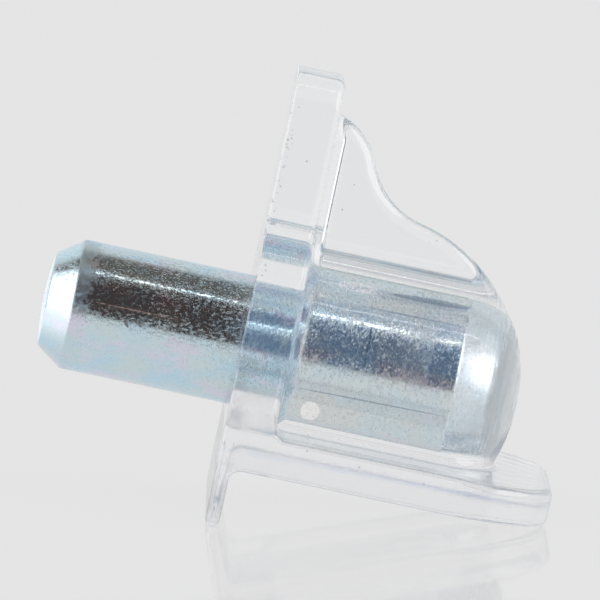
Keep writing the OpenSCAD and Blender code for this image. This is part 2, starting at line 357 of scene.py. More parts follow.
# %% [markdown]
# ## The steel pin
# The pin is turned from wire and cut off, so both ends have a chamfer and a slightly domed face. Its
# outline is drawn once and carried round the axis. The corners of the chamfers are small arcs, because
# plated steel has no sharp edge and a rounded corner catches the light.

# %% Turned outline of the pin
CHAMFER_LENGTH, CHAMFER_DEPTH, END_DOME = 1.0, 0.7, 0.15
CORNER_RADII = [0.16, 0.22, 0.3, 0.2]
CORNER_STEPS, DOME_STEPS, SIDE_STEPS = 7, 7, 60
END_RADIUS = PIN_RADIUS - CHAMFER_DEPTH
DOME_EDGE = 0.84


def rounded(corners, radii, steps):
    """A broken line with each corner replaced by an arc of the given radius that touches both sides."""
    out = [corners[:1]]
    for before, corner, after, radius in zip(corners, corners[1:], corners[2:], radii):
        a, b = before - corner, after - corner
        a, b = a / np.linalg.norm(a), b / np.linalg.norm(b)
        half = math.acos(np.clip(a @ b, -1, 1)) / 2
        middle = (a + b) / np.linalg.norm(a + b)
        centre = corner + middle * radius / math.sin(half)
        t = np.linspace(-1, 1, steps) * (math.pi / 2 - half)
        across = np.array([-middle[1], middle[0]])
        if across @ a < 0:
            across = -across
        out.append(centre - radius * (np.cos(t)[:, None] * middle + np.sin(t)[:, None] * across))
    return np.concatenate(out + [corners[-1:]])


def dome_height(share):
    """How far the domed face falls back: the dome's height times the square of the share of its radius."""
    return END_DOME * share ** 2


def dome_points(sign, tip):
    """The end's shallow dome, as a parabola from the axis to the chamfer's small edge."""
    share = np.linspace(0, 1, DOME_STEPS)[:-1]
    return np.stack([share * END_RADIUS, tip - sign * dome_height(share)], 1)


outer_face, inner_face = PIN_TIP - END_DOME, -PIN_SEAT + END_DOME
corner_line = np.array([
    [END_RADIUS * DOME_EDGE, PIN_TIP - dome_height(DOME_EDGE)],
    [END_RADIUS, outer_face],
    [PIN_RADIUS, outer_face - CHAMFER_LENGTH],
    [PIN_RADIUS, inner_face + CHAMFER_LENGTH],
    [END_RADIUS, inner_face],
    [END_RADIUS * DOME_EDGE, -PIN_SEAT + dome_height(DOME_EDGE)],
])
sides = rounded(corner_line, CORNER_RADII, CORNER_STEPS)
split = int(np.argmax(np.abs(np.diff(sides[:, 1])))) + 1
straight = sides[split - 1] + np.linspace(0, 1, SIDE_STEPS)[1:-1, None] * (sides[split] - sides[split - 1])
profile = np.concatenate([
    dome_points(1, PIN_TIP)[:-1], sides[:split], straight, sides[split:], dome_points(-1, -PIN_SEAT)[-2::-1]
])
print("pin outline", len(profile), "points")

# %% [markdown]
# The outline becomes a surface of two parameters, the place along it and the angle round the axis. A
# modifier such as Screw would do the same, but as arrays the poles can be closed with plain triangles.

# %% Carry the outline round the axis
AROUND = 160


def turned(outline, around):
    """Ring after ring of (x, r cos t, r sin t), with one point at each pole."""
    t = np.arange(around) * 2 * math.pi / around
    rings = outline[1:-1]
    grid = np.stack([
        np.repeat(rings[:, 1], around),
        np.outer(rings[:, 0], np.cos(t)).ravel(),
        np.outer(rings[:, 0], np.sin(t)).ravel(),
    ], 1)
    points = np.concatenate([grid, [[outline[0, 1], 0, 0], [outline[-1, 1], 0, 0]]])
    ring, step = np.meshgrid(np.arange(len(rings) - 1) * around, np.arange(around), indexing="ij")
    after = (step + 1) % around
    quads = np.stack([ring + step, ring + around + step, ring + around + after, ring + after], -1)
    k, k_after = np.arange(around), (np.arange(around) + 1) % around
    low = (len(rings) - 1) * around
    start = np.stack([np.full(around, len(grid)), k, k_after], 1)
    end = np.stack([np.full(around, len(grid) + 1), low + k_after, low + k], 1)
    return points, quads.reshape(-1, 4).tolist() + start.tolist() + end.tolist()


steel_pin = mesh_object("steel_pin", *turned(profile, AROUND))
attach(steel_pin, "root")
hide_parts("pin")
print("steel pin", len(steel_pin.data.polygons), "faces")

# %% [markdown]
# ## Materials
# A material is a tree of nodes, which could be laid out in the Shader Editor. Here a small class makes a
# node and wires it in one call, which keeps every number in view.

# %% Wiring a node
class Wiring:
    """A material's or a world's nodes, with short calls that make one and wire its inputs."""

    def __init__(self, nodes, links):
        self.nodes, self.links = nodes, links

    def put(self, socket, value):
        """Wire an output to a socket, or set a number, a vector or an opaque colour on it."""
        if isinstance(value, bpy.types.NodeSocket):
            self.links.new(value, socket)
        else:
            socket.default_value = (*value, 1.0) if socket.type == "RGBA" else value

    def add(self, kind, inputs=None, **settings):
        """One node with its settings, and its inputs by name or number."""
        node = self.nodes.new(kind)
        for key, value in settings.items():
            setattr(node, key, value)
        for key, value in (inputs or {}).items():
            self.put(node.inputs[key], value)
        return node

    def math(self, operation, *values):
        """One Math node."""
        return self.add("ShaderNodeMath", dict(enumerate(values)), operation=operation).outputs[0]


print("wiring", [name for name in vars(Wiring) if not name.startswith("_")])

# %% [markdown]
# A mask is a value that is 1 where something lies on the surface and 0 elsewhere. Most masks here are made
# from a few smooth ramps, multiplied with each other, so these get short names.

# %% Sums, products and ramps
class Masks(Wiring):
    """Short calls for what masks are made of."""

    def total(self, *values):
        """The sum of all values."""
        return functools.reduce(functools.partial(self.math, "ADD"), values)

    def product(self, *values):
        """All values multiplied, so that a mask is 1 only where all its parts are."""
        return functools.reduce(functools.partial(self.math, "MULTIPLY"), values)

    def largest(self, *values):
        """The largest of all values, so that a mask is 1 where any of its parts is."""
        return functools.reduce(functools.partial(self.math, "MAXIMUM"), values)

    def less(self, value, taken):
        """The first value minus the second."""
        return self.math("SUBTRACT", value, taken)

    def ramp(self, value, start, end, low=0.0, high=1.0):
        """low before start, high after end, smooth between."""
        span = {"Value": value, "From Min": start, "From Max": end, "To Min": low, "To Max": high}
        return self.add("ShaderNodeMapRange", span, interpolation_type="SMOOTHSTEP").outputs["Result"]

    def band(self, value, rise, fall):
        """1 between two ramps: up over the first pair of values, down over the second."""
        return self.product(self.ramp(value, *rise), self.ramp(value, *fall, 1.0, 0.0))

    def near(self, value, centre, inner, outer, high=1.0, low=0.0):
        """high within the inner distance of a centre, low beyond the outer one."""
        return self.ramp(self.math("ABSOLUTE", self.less(value, centre)), inner, outer, high, low)


print("masks", [name for name in vars(Masks) if not name.startswith("_")])

# %% [markdown]
# The last helpers are for coordinates, noise and colours. A colour is built as a painter does it, with one
# coat laid over another, each through its own mask.

# %% Coordinates, noise and colours
class Tree(Masks):
    """The whole set of helpers."""

    def reach(self, vector, direction):
        """How far a vector reaches along a direction: their dot product."""
        pair = {0: vector, 1: tuple(direction)}
        return self.add("ShaderNodeVectorMath", pair, operation="DOT_PRODUCT").outputs["Value"]

    def stretched(self, vector, scale):
        """Coordinates scaled along each axis: a pattern on them is drawn out where the scale is small."""
        return self.add("ShaderNodeMapping", {"Vector": vector, "Scale": scale}).outputs[0]

    def noise(self, vector, scale, detail=3.0, roughness=0.55, **settings):
        """Cloudy noise round 0.5, with features of about 1 / scale."""
        inputs = {"Vector": vector, "Scale": scale, "Detail": detail, "Roughness": roughness}
        return self.add("ShaderNodeTexNoise", inputs, **settings).outputs["Fac"]

    def mix(self, factor, a, b):
        """a where the factor is 0, b where it is 1."""
        node = self.add("ShaderNodeMix", data_type="RGBA")
        for index, value in ((0, factor), (6, a), (7, b)):
            self.put(node.inputs[index], value)
        return node.outputs[2]

    def paint(self, ground, *coats):
        """A ground colour with coats laid over it in turn, each a mask and a colour."""
        for mask, colour in coats:
            ground = self.mix(mask, ground, colour)
        return ground

    def shader_mix(self, factor, a, b):
        """The first shader where the factor is 0, the second where it is 1."""
        return self.add("ShaderNodeMixShader", {0: factor, 1: a.outputs[0], 2: b.outputs[0]})


print("tree", [name for name in vars(Tree) if not name.startswith("_")])

# %% [markdown]
# ## Zinc-plated steel
# The pin is zinc plated: blue-grey and bright, with clouds of a warmer grey and of lilac where the coat is
# thicker or thinner. One colour and one roughness would look like a mirror, so both change over the
# surface, at several sizes. All masks read the piece's own coordinates, so they keep their place from every
# side. X runs along the pin to its free end, the near side has a negative Y, and Z points down as the
# bracket lies here.

# %% An empty material, and the piece's own coordinates
def new_material(name):
    """A material with nothing but its output node."""
    material = bpy.data.materials.new(name)
    material.use_nodes = True
    tree = Tree(material.node_tree.nodes, material.node_tree.links)
    tree.nodes.clear()
    return material, tree, tree.add("ShaderNodeOutputMaterial")


def millimetres(tree):
    """The piece's own coordinates, in millimetres."""
    place = tree.add("ShaderNodeTexCoord").outputs["Object"]
    return tree.add("ShaderNodeVectorMath", {0: place, 3: 1 / MM}, operation="SCALE").outputs[0]


zinc, tree, output = new_material("zinc_plated_steel")
place = millimetres(tree)
along, across, down = tree.add("ShaderNodeSeparateXYZ", {0: place}).outputs
print("material", zinc.name, "started")

# %% [markdown]
# The clouds, the bloom and the bare end's specks are drawn out along the pin, as the grain of drawn wire is.
# The fine grain and the specks differ between the bare end and the end inside the plastic, and a mask of the
# place along the pin chooses between them.

# %% Grain, clouds and specks
bare = tree.ramp(along, -0.3, 0.3)
outside = tree.ramp(along, -PLATE - 0.2, -PLATE + 0.05)
wire_grain = tree.stretched(place, (0.5, 1.0, 1.0))
short_grain = tree.stretched(place, (1.8, 1.0, 1.0))
fine = tree.mix(bare, tree.noise(short_grain, 5.5, 4.0, 0.7), tree.noise(place, 8.0, 4.0, 0.75))
speck = tree.mix(bare, tree.noise(place, 9.0, 5.0, 0.8), tree.noise(wire_grain, 11.0, 5.0, 0.8))
cloud = tree.noise(wire_grain, 0.9)
bloom = tree.noise(wire_grain, 1.1, 4.0, 0.6, noise_dimensions="4D")
bloom = tree.total(bloom, tree.ramp(down, 1.3, 2.3, 0.0, 0.07))
print("steel's masks", len(tree.nodes), "nodes")

# %% [markdown]
# The colours are a metal's, which means that they tint what the pin mirrors. The bare end is bluer than the
# end inside the plastic. The inner chamfer and end face are paler than the pin's side. The free end's
# chamfer
# has a painted highlight: a blue gleam painted on its top, where the light falls.

# %% Colours of the zinc
IN_PLASTIC = {"blue": (0.66, 0.77, 0.81), "warm": (0.73, 0.76, 0.75), "lilac": (0.72, 0.75, 0.80)}
BARE_END = {"blue": (0.575, 0.77, 0.89), "warm": (0.66, 0.775, 0.80), "lilac": (0.73, 0.74, 0.85)}
DULL_GREY, PALE_CHAMFER, PALE_FACE = (0.52, 0.60, 0.66), (0.80, 0.88, 0.94), (0.98, 0.995, 1.0)
TIP_GLEAM_BLUE = (0.72, 0.93, 1.0)
outer_corner, inner_corner = outer_face - CHAMFER_LENGTH, inner_face + CHAMFER_LENGTH

blue, warm, lilac = (tree.mix(outside, IN_PLASTIC[name], BARE_END[name]) for name in IN_PLASTIC)
# Painted highlight: a pale blue gleam on the upper side of the free end's chamfer.
painted_tip_gleam = tree.ramp(along, outer_corner + 0.05, outer_corner + 0.2)
painted_tip_gleam = tree.product(painted_tip_gleam, tree.ramp(down, -1.8, -1.2, 0.8, 0.0))
tone = tree.paint(
    blue,
    (tree.ramp(cloud, 0.35, 0.65), warm),
    (tree.ramp(bloom, 0.52, 0.68), lilac),
    (tree.ramp(speck, 0.62, 0.76, 0.0, 0.10), DULL_GREY),
    (tree.ramp(along, inner_corner - 0.1, inner_corner + 0.05, 0.55, 0.0), PALE_CHAMFER),
    (tree.ramp(along, inner_face - 0.1, inner_face + 0.1, 1.0, 0.0), PALE_FACE),
    (painted_tip_gleam, TIP_GLEAM_BLUE),
)
print("chamfers start at", round(outer_corner, 2), "and", round(inner_corner, 2), "mm along the pin")

# %% [markdown]
# A used pin has nicks and scratches, and each is a single mark in its own place. They could be cut into the
# mesh, but they are shallow, and most are about as wide as a hair, so an ellipse in the material does as
# well: the squares of how far a point is off the middle, as shares of the ellipse's half length and half
# width, add up to less than 1 inside it. Some marks are painted light and shade instead: dark lines where
# the pin's image in the barrel has dark edges, and a white line where it shows a bright reflection.

# %% Single marks on the near side
# Each row: place along, place down, length, width, and lean in degrees.
NICKS = (
    (4.38, 0.04, 0.34, 0.12, -50), (3.85, 0.0, 0.16, 0.08, -40),
    (6.15, -0.98, 0.30, 0.14, 8), (4.05, -0.12, 0.14, 0.06, -50),
)
# The short upright line is a scratch. The three long lines are painted shade: dark edges of the pin's image
# as it shows through the barrel.
SHADE_LINES_AND_SCRATCHES = (
    (-5.2, 0.88, 5.9, 0.05, 0.8), (-4.72, -0.95, 0.08, 1.5, 0),
    (-6.8, -2.43, 3.2, 0.07, 0.6), (-6.1, -2.05, 4.2, 0.035, 0.3),
)
SCORE, ROUND_SPOT = (4.05, -0.52, 3.3, 0.05, 0), (-3.1, 1.6, 0.72, 0.62, 0)
# Painted highlight: a white line where the pin's top shows a bright reflection through the barrel.
PAINTED_HIGHLIGHT_LINE = (-3.95, -2.40, 1.7, 0.14, 0)


def mark(x, z, length, width, lean):
    """1 inside a leaning ellipse on the pin's near side, 0 outside it."""
    c, s = math.cos(math.radians(lean)), math.sin(math.radians(lean))
    off = []
    for (right, low), size in (((c, s), length), ((-s, c), width)):
        from_middle = tree.less(tree.reach(place, (right, 0, low)), x * right + z * low)
        off.append(tree.math("POWER", tree.math("DIVIDE", from_middle, size / 2), 2.0))
    return tree.product(tree.ramp(tree.total(*off), 0.8, 1.2, 1.0, 0.0), tree.math("LESS_THAN", across, 0.0))


nicked = tree.largest(*(mark(*row) for row in NICKS))
shade_lines_and_scratches = tree.largest(*(mark(*row) for row in SHADE_LINES_AND_SCRATCHES))
scored, pale_spot = mark(*SCORE), mark(*ROUND_SPOT)
painted_highlight = tree.product(mark(*PAINTED_HIGHLIGHT_LINE), tree.ramp(speck, 0.42, 0.55))
print("marks", len(NICKS) + len(SHADE_LINES_AND_SCRATCHES) + 3)

# %% [markdown]
# Inside the barrel a thin band is brownish, like the first trace of rust. Its strength follows the clouds,
# so it comes and goes along the pin. The marks come after it.

# %% Brownish band, and the marks' colours
RUST_BROWN, HIGHLIGHT_WHITE, LINE_GREY = (0.74, 0.52, 0.50), (1.0, 1.0, 1.0), (0.32, 0.40, 0.48)
NICK_GREY, SCORE_BROWN, SPOT_WHITE = (0.30, 0.33, 0.34), (0.82, 0.68, 0.64), (0.99, 0.975, 0.95)

rust_band = tree.product(
    tree.band(down, (-0.62, -0.42), (-0.15, 0.05)),
    tree.ramp(cloud, 0.42, 0.60, 0.0, 0.30),
    tree.ramp(along, inner_corner - 0.05, inner_corner + 0.15),
    tree.less(1.0, outside),
)
tone = tree.paint(
    tone,
    (rust_band, RUST_BROWN),
    # The painted highlight, broken up by the specks.
    (painted_highlight, HIGHLIGHT_WHITE),
    # Painted shade lines, and one scratch, in grey.
    (tree.product(shade_lines_and_scratches, 0.8), LINE_GREY),
    (nicked, NICK_GREY),
    (scored, SCORE_BROWN),
    (pale_spot, SPOT_WHITE),
)
print("steel's colour", len(tree.nodes), "nodes")

# %% [markdown]
# Roughness says how blurred the mirrored room is. It follows the fine grain, and wear adds to it: where the
# plate grips the pin, on the cut end, in the nicks and the score line, in a ring near the inner end, and in
# the band at the tip that holes have rubbed. That band has a ragged edge, because noise is added to the
# place before the ramp.

# %% Wear and roughness
seat = tree.band(along, (-PLATE - 0.15, -PLATE), (0.0, 0.15))
cut_end = tree.ramp(along, inner_face - 0.05, inner_face + 0.1, 0.25, 0.0)
ring_top = tree.ramp(down, -0.2, 0.2, 1.0, 0.0)
ring = tree.product(tree.band(along, (-7.25, -7.15), (-6.7, -5.7)), ring_top, 0.13)
ragged = tree.total(along, tree.product(tree.less(tree.noise(place, 2.5, 4.0, 0.7), 0.5), 1.6))
rubbed = tree.product(
    tree.ramp(ragged, 5.6, 6.2),
    tree.ramp(along, outer_corner, outer_corner + 0.1, 1.0, 0.0),
    tree.ramp(down, -0.2, 0.2, 0.26, 0.08),
)
dented = tree.product(tree.largest(nicked, scored), 0.25)
grain = tree.ramp(fine, 0.42, 0.66, 0.09, 0.33)
rough = tree.total(grain, tree.product(seat, 0.10), cut_end, rubbed, ring, dented)
print("wear", len(tree.nodes), "nodes")

# %% [markdown]
# The skin of the zinc has fine pits. A Bump node turns their height into a small lean of the normal, which
# is enough at this size. The pits are shallower inside the plastic, on the lower side and near the tip, and
# there are none where the plate grips the pin.

# %% Pits, and the finished steel
STEEL_BUMP, STEEL_DEPTH = 0.55, 0.01 * MM
pits = tree.product(tree.ramp(speck, 0.50, 0.74), tree.ramp(along, 3.0, 4.8, 1.0, 0.6))
calm = tree.product(tree.ramp(down, 0.0, 0.7), tree.ramp(along, -0.3, 0.3, 0.9, 0.6))
height = tree.product(
    tree.total(tree.product(fine, 0.25), pits),
    tree.ramp(along, -0.3, 0.3, 0.62, 1.0),
    tree.less(1.0, calm),
    tree.less(1.0, seat),
)
bump = tree.add("ShaderNodeBump", {"Height": height, "Strength": STEEL_BUMP, "Distance": STEEL_DEPTH})
steel = tree.add("ShaderNodeBsdfPrincipled", {
    "Base Color": tone,
    "Metallic": 1.0,
    "Roughness": rough,
    "Normal": bump.outputs[0],
})
tree.put(output.inputs["Surface"], steel.outputs[0])
steel_pin.data.materials.append(zinc)
print("material", zinc.name, len(tree.nodes), "nodes")

# %% [markdown]
# ## Clear plastic
# The plastic is clear with a trace of blue. It could be a plain glass shader, but then it would look like a
# drawing: what shows a real moulding's skin is how it falls short of perfect. It has the slow waves of a
# cooling moulding, fine scuffs from handling, and scratches on the nose's round end. The scratches' noise
# is drawn out down and across the bracket, and squeezed along it.

# %% Waves, scuffs and scratches
clear, tree, output = new_material("clear_plastic")
place = millimetres(tree)
forward, across, down = tree.add("ShaderNodeSeparateXYZ", {0: place}).outputs
back, wide = tree.product(forward, -1.0), tree.math("ABSOLUTE", across)
wave = tree.noise(place, 0.8, 2.0)
scuff = tree.noise(place, 14.0, 4.0, 0.6)
streak = tree.noise(tree.stretched(place, (7.0, 0.5, 0.4)), 1.4, 3.0, 0.6)
nose_end = tree.product(tree.ramp(back, 8.6, 9.8), tree.ramp(down, 2.0, 2.5, 1.0, 0.0))
scratch = tree.product(tree.ramp(streak, 0.47, 0.58), nose_end)
print("plastic's masks", len(tree.nodes), "nodes")

# %% [markdown]
# Specks of dust are single dots. A Voronoi texture cuts space into cells, each with a random colour of its
# own. One channel of that colour picks which cells hold a speck, and the distance to the cell's point draws
# it. The chance of a speck is high on the back face and in the flange's half beside the barrel, and low
# elsewhere. A second, denser kind lies only on the plate's side edges, close to the back face.

# %% Specks of dust
def specks(scale, channel, chance, inner, outer, strength):
    """Dots at the points of picked cells, full within the inner distance and gone at the outer one."""
    cells = tree.add("ShaderNodeTexVoronoi", {"Vector": place, "Scale": scale, "Randomness": 1.0})
    draw = tree.add("ShaderNodeSeparateColor", {0: cells.outputs["Color"]}).outputs[channel]
    dot = tree.ramp(cells.outputs["Distance"], inner, outer, strength, 0.0)
    return tree.product(tree.math("LESS_THAN", draw, chance), dot)


chance = tree.largest(tree.ramp(back, 0.10, 0.40, 0.4, 0.0), tree.near(down, 3.0, 0.3, 0.5, 0.30, 0.03))
loose_dust = specks(4.0, 0, chance, 0.10, 0.18, 0.75)
sides_at = (TONGUE_HALF, SHOULDER_HALF)
side_edges = tree.largest(*(tree.near(wide, half - 0.1, 0.15, 0.25) for half in sides_at))
back_edge = tree.product(
    side_edges, tree.ramp(down, 0.0, 1.0, 1.0, 0.0), tree.ramp(back, 0.20, 0.40, 1.0, 0.0)
)
dust = tree.largest(loose_dust, tree.product(specks(6.0, 1, 0.55, 0.20, 0.40, 0.60), back_edge))
print("plastic with dust", len(tree.nodes), "nodes")

# %% [markdown]
# Clear plastic takes little colour of its own, so every tint here is near white, apart from the dust. The
# flange's side edge is a little grey, and its end is a little lilac: long ways through plastic show its
# colour. Along the side edge runs a pale blue line that slopes with the flange. It is a painted reflection,
# the image of the flange's far edge as it shows through the plastic.

# %% Tints of the plastic
CLEAR, SCUFFED, EDGE_GREY = (0.985, 0.992, 0.998), (0.93, 0.95, 0.97), (0.90, 0.90, 0.91)
REFLECTION_BLUE, SCRATCHED, END_LILAC = (0.80, 0.87, 0.97), (0.82, 0.87, 0.90), (0.88, 0.885, 0.93)
DUST_GREY = (0.16, 0.15, 0.15)
LINE_DOWN, LINE_SLOPE = 3.50, 0.025

flange_side = tree.ramp(wide, HALF_WIDTH - 0.15, HALF_WIDTH - 0.05)
# Painted reflection: a pale blue line along the flange's side edge, where its far edge shows through.
painted_edge_reflection = tree.product(
    tree.near(down, tree.less(LINE_DOWN, tree.product(back, LINE_SLOPE)), 0.05, 0.12),
    flange_side,
    tree.ramp(wave, 0.40, 0.60, 0.45, 1.0),
)
flange_end = tree.ramp(back, FLANGE_REACH - 0.75, FLANGE_REACH - 0.55)
tint = tree.paint(
    CLEAR,
    (tree.ramp(scuff, 0.60, 0.72, 0.0, 0.5), SCUFFED),
    (tree.product(flange_side, 0.6), EDGE_GREY),
    (painted_edge_reflection, REFLECTION_BLUE),
    (scratch, SCRATCHED),
    (tree.product(flange_end, tree.ramp(down, 3.3, 3.9, 0.6, 0.0)), END_LILAC),
    (dust, DUST_GREY),
)
print("the flange's end is tinted from", round(FLANGE_REACH - 0.75, 2), "mm back")

# %% [markdown]
# A moulding isn't polished evenly. Where it is duller, a little more roughness blurs what shows through it:
# in scuffs and scratches, on the flange and the plate's flare, and at the nose's foot.

# %% Roughness and relief of the plastic
PLASTIC_BUMP, PLASTIC_DEPTH = 0.12, 0.04 * MM
flange_haze = tree.ramp(down, 2.7, 3.0, 0.0, 0.12)
flare_haze = tree.product(tree.ramp(wide, 4.5, 4.8), tree.ramp(down, 2.5, 2.9, 0.24, 0.12))
nose_foot = tree.product(
    tree.ramp(back, 9.7, 10.1), tree.ramp(down, 0.9, 1.6), tree.ramp(down, 2.5, 2.7, 0.5, 0.0)
)
scuff_haze, scratch_haze = tree.ramp(scuff, 0.60, 0.75, 0.07, 0.16), tree.product(scratch, 0.36)
rough = tree.largest(scuff_haze, scratch_haze, flange_haze, flare_haze, nose_foot)
height = tree.total(wave, tree.product(tree.ramp(scuff, 0.62, 0.75), 0.03))
height = tree.less(height, tree.product(scratch, 8.0))
bump = tree.add("ShaderNodeBump", {"Height": height, "Strength": PLASTIC_BUMP, "Distance": PLASTIC_DEPTH})
print("plastic's skin", len(tree.nodes), "nodes")

# %% [markdown]
# The shader is a Principled one with full transmission and the refractive index of a clear polyester. Rays
# that ask for shadow don't pass such a shader, so its shadow would be as dark as a stone's. These rays meet
# a nearly clear Transparent shader instead, and the plastic throws a faint shadow.

# %% The finished plastic
PLASTIC_INDEX, SHADOW_CLEARNESS = 1.57, (0.93, 0.95, 0.96)
plastic = tree.add("ShaderNodeBsdfPrincipled", {
    "Base Color": tint,
    "Roughness": rough,
    "IOR": PLASTIC_INDEX,
    "Transmission Weight": 1.0,
    "Normal": bump.outputs[0],
})
shade = tree.add("ShaderNodeBsdfTransparent", {"Color": SHADOW_CLEARNESS})
ray = tree.add("ShaderNodeLightPath").outputs
surface = tree.shader_mix(ray["Is Shadow Ray"], plastic, shade)
tree.put(output.inputs["Surface"], surface.outputs[0])
moulding.data.materials.append(clear)
print("material", clear.name, len(tree.nodes), "nodes")

# %% [markdown]
# ## Floor, light and camera
# The bracket leans on the tip of its lip and the outer end of its flange. The floor's normal is tipped by
# the rest angle, and the lowest point of the net says how far along that normal the floor lies. At this
# angle the lip touches the floor, and the flange's end comes within 0.05 mm of it.

# %% Rest plane
REST_ANGLE = math.radians(10.3)


def support(points, angle):
    """The floor's normal at a tip of the bracket, and how far along it the lowest point lies."""
    up = np.array([math.sin(angle), 0.0, -math.cos(angle)])
    return up, float((points @ up).min())


net_metres = net_points * MM
up_direction, floor_level = support(net_metres, REST_ANGLE)
UP = Vector(up_direction)
FLOOR_POINT = UP * floor_level
AWAY = Vector((0, 1, 0))
RIGHT = AWAY.cross(UP).normalized()
heights = (net_metres @ up_direction - floor_level) / MM
at_lip = net_points[:, 0] > -PLATE
print("mm above the floor: lip", heights[at_lip].min().round(3), "flange", heights[~at_lip].min().round(3))

# %% [markdown]
# The floor is a stage and not part of the object. It is one large quad, which ends a short way in front of
# the object, so that the plastic's lower edges mirror the room there and not only the table. Its front edge
# lies below the camera's view.

# %% Floor
TABLE_REACH, TABLE_FRONT = 4.0, 0.072
TABLE_SIDES = ((-1, -TABLE_FRONT), (1, -TABLE_FRONT), (1, TABLE_REACH), (-1, TABLE_REACH))
corners = [tuple(FLOOR_POINT + RIGHT * side * TABLE_REACH + AWAY * away) for side, away in TABLE_SIDES]
floor_mesh = bpy.data.meshes.new("floor")
floor_mesh.from_pydata(corners, [], [(0, 1, 2, 3)])
floor_mesh.update()
if floor_mesh.polygons[0].normal.dot(UP) < 0:
    floor_mesh.flip_normals()
floor = bpy.data.objects.new("floor", floor_mesh)
bpy.context.scene.collection.objects.link(floor)
print("floor", 2 * TABLE_REACH, "m wide, ends", TABLE_FRONT, "m in front")

# %% [markdown]
# A pale floor that is lit like everything else comes out grey. So a ray that looks at it, directly, in a
# mirror or through the plastic, sees mostly a glow of its own, and the lit part under that glow keeps the
# object's shadow. For a mirrored ray the glow is stronger on the left, below the soft box there. The Light
# Path node tells the kinds of ray apart.

# %% The floor's light
TABLE_LOOK = {"Base Color": (0.76, 0.76, 0.76), "Roughness": 0.12, "Specular IOR Level": 0.35}
GLOW_SHARE = 0.86
TABLE_GLOW, BOX_GLOW, THROUGH_GLOW, FIRST_MIRROR_LOSS = 0.79, 0.45, 0.065, 0.02


def first_mirror(tree, ray):
    """1 for a ray that has been mirrored exactly once, however often it was bent."""
    return tree.math("COMPARE", ray["Glossy Depth"], 1.0, 0.4)


table, tree, output = new_material("pale_table")
ray = tree.add("ShaderNodeLightPath").outputs
leftwards = tree.reach(millimetres(tree), -RIGHT)
mirrored = tree.product(ray["Is Glossy Ray"], tree.less(1.0, ray["Is Transmission Ray"]))
beside_box = tree.product(tree.ramp(leftwards, 12, 26), mirrored)
through_glow = tree.less(THROUGH_GLOW, tree.product(first_mirror(tree, ray), FIRST_MIRROR_LOSS))
level = tree.total(
    tree.product(beside_box, BOX_GLOW), TABLE_GLOW, tree.product(ray["Is Transmission Ray"], through_glow)
)
glow = tree.add("ShaderNodeEmission", {"Color": (1, 1, 1), "Strength": level})
lit = tree.add("ShaderNodeBsdfPrincipled", TABLE_LOOK)
seen = tree.largest(ray["Is Camera Ray"], ray["Is Glossy Ray"], ray["Is Transmission Ray"])
shown = tree.shader_mix(tree.product(seen, GLOW_SHARE), lit, glow)
print("floor's glow", len(tree.nodes), "nodes")

# %% [markdown]
# The table is polished a little, so the object has a soft mirror image near its feet. Fresnel makes that
# image stronger where the floor is seen at a low angle, as on any smooth surface. Only the floor's upper
# side shows, and from below it is clear, so that the object can be looked at from there too.

# %% The floor's polish
POLISH_COLOUR, POLISH_ROUGHNESS, POLISH_INDEX, POLISH_SHARE = (1.0, 0.985, 0.97), 0.06, 1.35, 0.7
polish = tree.add("ShaderNodeBsdfAnisotropic", {"Color": POLISH_COLOUR, "Roughness": POLISH_ROUGHNESS})
grazing = tree.add("ShaderNodeFresnel", {"IOR": POLISH_INDEX}).outputs[0]
shown = tree.shader_mix(tree.product(ray["Is Camera Ray"], grazing, POLISH_SHARE), shown, polish)
under = tree.add("ShaderNodeNewGeometry").outputs["Backfacing"]
surface = tree.shader_mix(under, shown, tree.add("ShaderNodeBsdfTransparent"))
tree.put(output.inputs["Surface"], surface.outputs[0])
floor_mesh.materials.append(table)
print("material", table.name, len(tree.nodes), "nodes")

# %% [markdown]
# ## The studio round the object
# Bright metal and clear plastic show what stands round them, so the studio matters as much as the
# materials. It could be built from panels, but a world that answers by direction does the same with nothing
# in the way. A direction is told by its turn, in degrees up from the front horizon and over the top, and by
# how far it points aside. The studio is pale behind and to the sides, with a soft box on the left and one
# on the right. In front and overhead it is a dark room, and that dark draws the pin's shape. One narrow
# bright strip crosses the dark: it is the thin bright line along the pin.

# %% Directions and regions of the studio
STRIP_TURN = 71.7
world = bpy.data.worlds.new("studio")
bpy.context.scene.world = world
world.use_nodes = True
tree = Tree(world.node_tree.nodes, world.node_tree.links)
tree.nodes.clear()
output = tree.add("ShaderNodeOutputWorld")
toward = tree.add("ShaderNodeTexCoord").outputs["Generated"]
ray = tree.add("ShaderNodeLightPath").outputs
through = ray["Is Transmission Ray"]

front, above = tree.reach(toward, -AWAY), tree.reach(toward, UP)
aside = tree.largest(tree.reach(toward, -RIGHT), tree.reach(toward, RIGHT))
turn = tree.product(tree.math("ARCTAN2", above, front), 180 / math.pi)
beside = tree.product(tree.ramp(aside, 0.55, 0.68), tree.ramp(above, 0.60, 0.66, 1.0, 0.0))
dark = tree.product(
    tree.ramp(turn, -16, -9),
    tree.ramp(tree.total(turn, tree.product(through, 16.0)), 112, 126, 1.0, 0.0),
    tree.less(1.0, beside),
)
boxes = tree.product(
    tree.band(aside, (0.62, 0.70), (0.980, 0.992)),
    tree.ramp(above, 0.74, 0.80, 1.0, 0.0),
    tree.ramp(front, -0.20, -0.08),
)
strip = tree.product(tree.near(turn, STRIP_TURN, 0.5, 1.3), tree.ramp(aside, 0.5, 0.65, 1.0, 0.0))
print("studio's regions", len(tree.nodes), "nodes")

# %% [markdown]
# Seen through the plastic, the dark room is paler and bluer. In a real moulding haze and small warps do
# that, and here the world does it. How much depends on the ray: one that is only bent sees the room palest,
# and one that is mirrored once, as on the steel inside, sees it darkest, so the pin keeps its depth.

